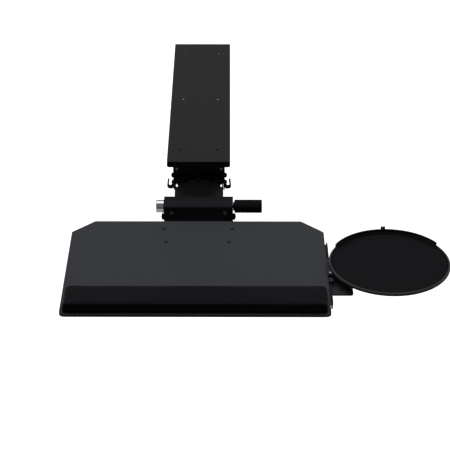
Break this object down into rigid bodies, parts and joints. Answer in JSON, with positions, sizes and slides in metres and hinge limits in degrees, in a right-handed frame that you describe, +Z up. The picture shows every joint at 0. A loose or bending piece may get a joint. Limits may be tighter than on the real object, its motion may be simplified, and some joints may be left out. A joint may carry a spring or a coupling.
{
  "type": "keyboard tray",
  "caption": "Under-desk keyboard tray: board with padded palm rest on a swivelling, lifting and tilting arm that slides in a track, with a swing-out round mouse platform.",
  "frame": {"origin": "centre of the track's top face, which lies against the underside of the desk", "axes": "+Z up into the desk, +X to the typist's right, -Y towards the typist"},
  "size_m": [0.6926, 0.9595, 0.129],
  "materials": {
    "black_paint": "satin black powder coat",
    "zinc": "zinc plated",
    "bright": "polished",
    "nylon": "moulded nylon",
    "board": "fine texture",
    "knob": "moulded grip",
    "platform": "satin moulded",
    "skin": "smooth leatherette over foam",
    "mat": "fine cloth surface"
  },
  "bodies": {
    "base": {"track": "black_paint", "track_end_caps": "nylon"},
    "carriage": {"carriage_plate": "zinc", "carriage_glides": "nylon", "swivel_hub": "zinc", "swivel_bolt": "zinc"},
    "swivel": {"swivel_washer": "nylon", "swivel_nut": "zinc", "swivel_bracket": "black_paint", "cable_hook_left": "black_paint", "cable_hook_right": "black_paint", "hook_rivets": "black_paint", "apron_rivets": "zinc", "upper_pivot_rod": "zinc", "lower_pivot_rod": "zinc", "spring_mandrel": "nylon", "counterbalance_springs": "zinc", "link_spacers": "nylon"},
    "arm": {"arm_channel": "black_paint", "arm_bushes": "nylon"},
    "link": {"lower_link": "black_paint", "link_bushes": "nylon"},
    "yoke": {"tilt_yoke": "black_paint", "link_pin": "zinc"},
    "tray": {"head_housing": "black_paint", "head_screws": "zinc", "front_pivot_rod": "black_paint", "pivot_spacers": "nylon", "dial_bushes": "nylon", "tray_bracket": "black_paint", "board": "board", "board_screws": "black_paint", "board_nuts": "zinc", "palm_rest": "skin", "mouse_rail": "black_paint", "rail_screws": "zinc"},
    "dial": {"tilt_shaft": "zinc", "tilt_knob": "knob", "knob_collar": "knob", "shaft_end_cap": "bright"},
    "nut": {"tilt_nut": "bright"},
    "clip": {"mouse_clip": "black_paint", "swing_pin": "bright"},
    "platform": {"swing_arm": "black_paint", "platform_screws": "zinc", "mouse_platform": "platform", "mouse_mat": "mat", "cord_clip": "platform"}
  },
  "joints": [
    {"name": "track_slide", "type": "slide", "parent": "base", "child": "carriage", "axis": [0, 1, 0], "range_m": [0, 0.36]},
    {"name": "swivel", "type": "hinge", "parent": "carriage", "child": "swivel", "pos_m": [0, -0.205, -0.016], "axis": [0, 0, 1], "continuous": true},
    {"name": "arm_lift", "type": "hinge", "parent": "swivel", "child": "arm", "pos_m": [0, -0.228, -0.056], "axis": [1, 0, 0], "range_deg": [-48.4, 27.6], "deforming": ["counterbalance_springs"]},
    {"name": "link_follow", "type": "hinge", "parent": "swivel", "child": "link", "pos_m": [0, -0.22, -0.0756], "axis": [1, 0, 0], "range_deg": [-48.4, 27.6]},
    {"name": "yoke_level", "type": "hinge", "parent": "arm", "child": "yoke", "pos_m": [0, -0.312, -0.1014], "axis": [1, 0, 0], "range_deg": [-27.6, 48.4]},
    {"name": "tilt", "type": "hinge", "parent": "yoke", "child": "tray", "pos_m": [0, -0.312, -0.1014], "axis": [1, 0, 0], "range_deg": [-15, 15]},
    {"name": "dial_turn", "type": "hinge", "parent": "tray", "child": "dial", "pos_m": [0, -0.307, -0.0815], "axis": [1, 0, 0], "range_deg": [-360, 360]},
    {"name": "nut_slide", "type": "slide", "parent": "tray", "child": "nut", "axis": [1, 0, 0], "range_m": [-0.012, 0.012]},
    {"name": "mouse_slide", "type": "slide", "parent": "tray", "child": "clip", "axis": [0, 1, 0], "range_m": [-0.045, 0.015]},
    {"name": "mouse_swing", "type": "hinge", "parent": "clip", "child": "platform", "pos_m": [0.2396, -0.5505, -0.08275], "axis": [0, 0, -1], "range_deg": [-60, 20]}
  ],
  "couplings": [
    {"joint": "link_follow", "follows": "arm_lift", "ratio": 1},
    {"joint": "yoke_level", "follows": "arm_lift", "ratio": -1},
    {"joint": "dial_turn", "follows": "tilt", "ratio": 24},
    {"joint": "nut_slide", "follows": "tilt", "m_per_rad": 0.045837}
  ]
}
